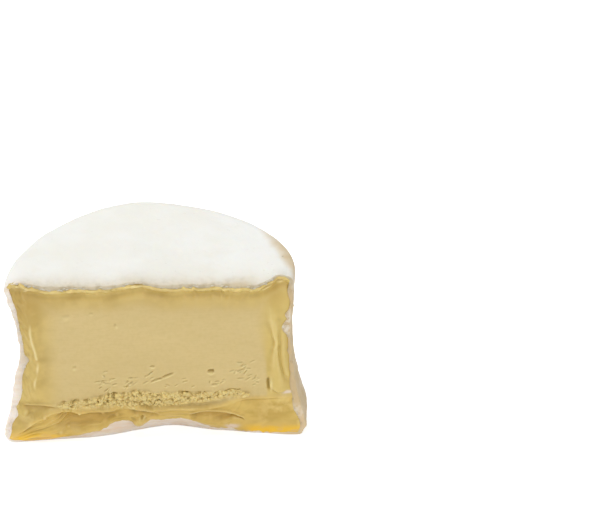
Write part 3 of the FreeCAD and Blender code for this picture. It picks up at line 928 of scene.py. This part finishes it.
class Finish(Nodes):
    """A material for the cheese. Sizes of patterns are in millimetres on the piece."""

    def __init__(self, name, **constants):
        self.material = bpy.data.materials.new(name)
        super().__init__(self.material)
        inputs = {label.replace("_", " "): value for label, value in constants.items()}
        surface = self.node("ShaderNodeBsdfPrincipled", {}, inputs)
        self.shader = surface.socket.node
        self.node("ShaderNodeOutputMaterial", {}, {"Surface": surface}, None)
        self.place = self.node("ShaderNodeTexCoord", {}, {}, "Object")

    def number(self, label):
        """The number that the mesh carries for each of its points under this name."""
        return self.node("ShaderNodeAttribute", {"attribute_name": label}, {}, "Fac")

    def along(self, axis):
        """The place along an axis, in millimetres in the shared frame."""
        return self.node("ShaderNodeSeparateXYZ", {}, {0: self.place}, axis) * (1 / MM)

    def mottle(self, size, detail, stretch=(1, 1, 1)):
        """Noise with patches of about this size, from 0 to 1, longer where stretch is above 1."""
        scale = tuple(1 / (size * MM * factor) for factor in stretch)
        where = self.node("ShaderNodeMapping", {}, {"Vector": self.place, "Scale": scale})
        return self.node("ShaderNodeTexNoise", {}, {"Vector": where, "Scale": 1.0, "Detail": detail})

    def ramp(self, value, low, high):
        """0 below low and 1 above high, with an S curve between them."""
        settings = {"interpolation_type": "SMOOTHSTEP"}
        return self.node("ShaderNodeMapRange", settings, {"Value": value, "From Min": low, "From Max": high})

    def fall(self, value, low, high):
        """1 below low and 0 above high, with an S curve between them."""
        return 1 - self.ramp(value, low, high)

    def patches(self, low, high, *pattern):
        """Mottling sharpened to patches: 0 where it is below low, 1 where it is above high."""
        return self.ramp(self.mottle(*pattern), low, high)

    def blend(self, share, *colours):
        """Two colours mixed by a share from 0 to 1, each of them a link or its screen values."""
        first, second = (c if isinstance(c, Link) else paint(*c) for c in colours)
        return self.node("ShaderNodeMix", {"data_type": "RGBA"}, {0: share, 6: first, 7: second}, 2)

    def coated(self, colour, *coats):
        """A colour with others laid over it one by one, each given by its share and itself."""
        for share, coat in coats:
            colour = self.blend(share, colour, coat)
        return colour

    def feed(self, label, value):
        """Links a value or a colour to one of the shader's own inputs."""
        self.tree.links.new(value.socket, self.shader.inputs[label])

    def relief(self, *layers):
        """Bump nodes one on another, each from a height and its depth in millimetres."""
        lit = {}
        for value, depth in layers:
            inputs = {"Height": value, "Distance": depth * MM} | lit
            lit = {"Normal": self.node("ShaderNodeBump", {}, inputs)}
        self.feed("Normal", lit["Normal"])


def rind_finish():
    """White bloom over an ivory skin, warmer and rubbed pinker down the wall, with a few brown specks. Where
    the wall turns away right of the cut it takes painted shadow and warm reflected light, as from a wooden
    box standing beside it. The cut edge is partly the rind's own colour and partly painted shade: tan along
    the top, pinkish white at the left and near the base, with creases low down, and at the right sallow from
    the same painted shadow and reflected light, with pale flakes."""
    finish = Finish("white bloom", Subsurface_Weight=0.25, Subsurface_Radius=(1.0, 0.75, 0.5),
                    Subsurface_Scale=1.5 * MM, Sheen_Weight=0.15, Sheen_Roughness=0.6,
                    Specular_IOR_Level=0.25)
    across, inward, level = (finish.along(axis) for axis in "XYZ")
    low, patchy = finish.fall(level, 33, 46), finish.mottle(5, 4)
    # turned, wall and beside: painted shadow and warm reflected light right of the cut, round the shoulder
    # and down the wall
    turned = finish.ramp(across + inward * 0.33 + patchy * 2, 29.4, 32.4) * finish.fall(inward, -8, 14)
    turned = turned * finish.ramp(level, 33, 42) * finish.fall(level, 45, 52)
    wall = finish.ramp(across, 29, 36) * finish.fall(level, 41, 47) * finish.fall(inward, -20, -2)
    beside = turned.at_least(wall)
    speck = finish.patches(0.66, 0.72, 0.9, 2) * finish.ramp(patchy, 0.46, 0.56)
    shoulder = finish.ramp(level, 38, 44) * finish.ramp(across, 28, 34)
    colour = finish.coated(
        finish.blend(finish.patches(0.36, 0.66, 14, 4), (238, 238, 233), (235, 234, 226)),
        (finish.patches(0.52, 0.8, 6, 5) * 0.3, (231, 226, 211)),
        (low * 0.8, (245, 234, 222)),
        (low * finish.patches(0.5, 0.72, 7, 4, (1, 1, 0.6)) * 0.5, (236, 212, 186)),
        # painted shadow and warm reflected light, in patches
        (beside * (0.58 + patchy * 0.75), (203, 178, 130)),
        (speck * (shoulder * 0.8 + 0.08), (140, 112, 78)))

    pink = finish.fall(across, -36, -30).at_least(finish.fall(level, 5, 10))
    streaks = finish.patches(0.36, 0.66, 2.4, 4, (2.5, 1, 0.6))
    creases = finish.patches(0.48, 0.66, 1.3, 4, (3, 1, 0.5)) * finish.fall(level, 4, 8)
    flakes = finish.ramp(level, 29, 32) * finish.fall(level, 36, 39)
    flakes = flakes.at_least(finish.ramp(level, 4.5, 6.5) * finish.fall(level, 8, 10) * 0.7)
    flakes = flakes * finish.ramp(across, 28, 32) * finish.patches(0.36, 0.6, 1.1, 3)
    # the cut edge's colour: the rind's own cut edge with its tan deepened by painted shade; it also colours
    # the painted-shade margin on the top behind the lip
    edge = finish.coated(
        finish.blend(finish.patches(0.4, 0.7, 1.6, 4), (205, 190, 160), (185, 168, 132)),
        (pink, finish.blend(streaks, (252, 241, 231), (243, 225, 205))),
        (creases * 0.5, (238, 205, 168)),
        # the same painted shadow and warm reflected light on the cut edge right of the cut
        (beside * 0.78, finish.blend(finish.ramp(level, 8, 16), (224, 197, 148), (213, 186, 140))),
        (flakes * 0.8, (240, 230, 214)))

    cut = finish.number("cut")
    finish.feed("Base Color", finish.blend(cut * 0.9, colour, edge))
    finish.feed("Roughness", 0.9 - cut * 0.35)
    finish.relief((finish.mottle(0.9, 3), 0.05), (finish.mottle(0.22, 3), 0.035))
    return finish.material


def paste_finish():
    """Smooth pale core with level knife strokes, deeper glossy cream line, porous curds, a smeared lower
    roll, and clear amber fat in the lower corners. Olive-brown painted shade lies in the seams, pits and
    hollows, and painted highlights on crests and raised places."""
    finish = Finish("soft paste", Subsurface_Weight=0.2, Subsurface_Radius=(1.0, 0.7, 0.35),
                    Subsurface_Scale=1.2 * MM, Specular_IOR_Level=0.45)
    cream, lower, crumb, hollow, shade, amber, right, gleam, skin, pale = map(finish.number, FACE_VALUES)
    strokes = finish.mottle(0.45, 3, (8, 6, 1))
    line = finish.coated(
        finish.blend(finish.patches(0.35, 0.65, 5, 4), (200, 171, 92), (218, 190, 110)),
        (right * 0.7, (220, 194, 112)))
    roll = finish.coated(
        finish.blend(finish.patches(0.35, 0.65, 5, 5, (2, 1, 0.8)), (221, 189, 101), (202, 168, 80)),
        (right * finish.patches(0.42, 0.62, 3.6, 4) * 0.75, (232, 204, 126)))
    fat = finish.patches(0.38, 0.58, 2.6, 4, (2, 1, 0.7))
    colour = finish.coated(
        finish.blend(finish.mottle(16, 4, (1.4, 1, 0.7)), (225, 201, 142), (211, 188, 128)),
        (finish.ramp(strokes, 0.42, 0.7) * 0.25, (208, 184, 120)),
        (finish.patches(0.4, 0.7, 0.9, 4) * 0.2, (203, 179, 116)),
        (cream, line),
        (crumb * 0.8, finish.blend(finish.mottle(1.2, 3), (246, 221, 150), (232, 205, 131))),
        (lower, roll),
        # painted shade in the large hollows, the corners and under the upper edge
        (shade * 0.6, (184, 144, 58)),
        (amber, finish.blend(fat, (238, 196, 110), (250, 201, 52))),
        # painted light on raised places and along the upper edge
        (pale * 0.35, (244, 226, 164)),
        # painted shade in seams, pits and all that lies deeper
        (hollow * 0.7, (150, 122, 42)),
        # painted highlight on shining crests and pit rims
        (gleam * 0.7, (246, 228, 168)),
        (skin * 0.85, (234, 216, 200)))
    finish.feed("Base Color", colour)
    soft = 0.48 - cream * 0.2 - lower * 0.2 + crumb * 0.15
    finish.feed("Roughness", soft + finish.mottle(3, 3) * 0.1)
    finish.relief((strokes, 0.009), (finish.mottle(0.5, 3), 0.024))
    return finish.material


# ---------- the room

FLOOR_REACH = 6.0           # metres
FLOOR_CORNERS = ((-1, -1), (1, -1), (1, 1), (-1, 1))
FLOOR_DROP = 0.00002        # metres, so that the floor and the rind's flat base don't share a plane
FLOOR_GLOW = 0.55           # the floor's own light, for what is seen directly
ROOM_LIGHT = 0.55
LAMPS = (  # name, place, watts, width
    ("key", (-0.4, 0.1, 1.15), 7.0, 0.7), ("fill", (0.3, -1.0, 0.55), 3.0, 0.8),
)
LAMP_TARGET = Vector((0, 0, 0.02))          # metres
CAMERA_ELEVATION, CAMERA_ROLL = 30.5, 1.4
CAMERA_DISTANCE = 952.0     # millimetres, along the view, to the cut's middle
VIEW_RIGHT, VIEW_UP = 39.8, 27.7        # the picture's middle lies this far from the cut's middle
CUT_MIDDLE = (0.0, 0.0, 22.0)
LENS, CLIP_END = 222.0, 20.0            # millimetres; metres


def make_floor():
    """A white floor that shows white and still takes a soft shadow: white paint, and where it is seen
    directly some light of its own."""
    material = bpy.data.materials.new("white floor")
    nodes = Nodes(material)
    white = nodes.node("ShaderNodeBsdfDiffuse", {}, {"Color": (0.9, 0.9, 0.9, 1)})
    glow = nodes.node("ShaderNodeEmission", {}, {"Strength": nodes.seen() * FLOOR_GLOW})
    both = nodes.node("ShaderNodeAddShader", {}, {0: white, 1: glow})
    nodes.node("ShaderNodeOutputMaterial", {}, {"Surface": both}, None)
    corners = [(x * FLOOR_REACH, y * FLOOR_REACH, -FLOOR_DROP) for x, y in FLOOR_CORNERS]
    mesh = bpy.data.meshes.new("floor")
    mesh.from_pydata(corners, [], [range(len(corners))])
    mesh.materials.append(material)
    floor = placed("floor", mesh)


def make_world():
    """Even white light from all round, and a white background where it is seen directly."""
    world = bpy.data.worlds.new("white room")
    bpy.context.scene.world = world
    nodes = Nodes(world)
    white = (1, 1, 1, 1)
    light = nodes.node("ShaderNodeBackground", {}, {"Color": white, "Strength": ROOM_LIGHT})
    shown = nodes.node("ShaderNodeBackground", {}, {"Color": white, "Strength": 1.0})
    either = nodes.node("ShaderNodeMixShader", {}, {0: nodes.seen(), 1: light, 2: shown})
    nodes.node("ShaderNodeOutputWorld", {}, {"Surface": either}, None)


def make_lamp(name, place, power, width):
    """A square soft lamp at a place in metres, with its watts and its width, turned to the cheese."""
    data = bpy.data.lights.new(name, "AREA")
    data.energy, data.size = power, width
    lamp = placed(name, data)
    lamp.location = place
    lamp.rotation_euler = (LAMP_TARGET - Vector(place)).to_track_quat("-Z", "Y").to_euler()


def make_camera():
    """A long lens above the cut, aimed past the cheese so that it stands in the picture's lower left."""
    data = bpy.data.cameras.new("camera")
    data.lens, data.clip_end = LENS, CLIP_END
    camera = placed("camera", data)
    tilt = Matrix.Rotation(math.radians(90 - CAMERA_ELEVATION), 4, "X")
    turned = tilt @ Matrix.Rotation(math.radians(-CAMERA_ROLL), 4, "Z")
    away = turned @ Vector((VIEW_RIGHT, VIEW_UP, CAMERA_DISTANCE)) * MM
    middle = Vector(to_frame(np.array(CUT_MIDDLE)))
    camera.matrix_world = Matrix.Translation(middle + away) @ turned
    bpy.context.scene.camera = camera


# ---------- making it all

bpy.context.scene.view_settings.view_transform = "Standard"
make_camera()
make_floor()
make_world()
for lamp in LAMPS:
    make_lamp(*lamp)

paste_material, rind_material = paste_finish(), rind_finish()
make_rind(rind_material)
make_paste(paste_material)
make_grains(paste_material)
make_shreds(rind_material)
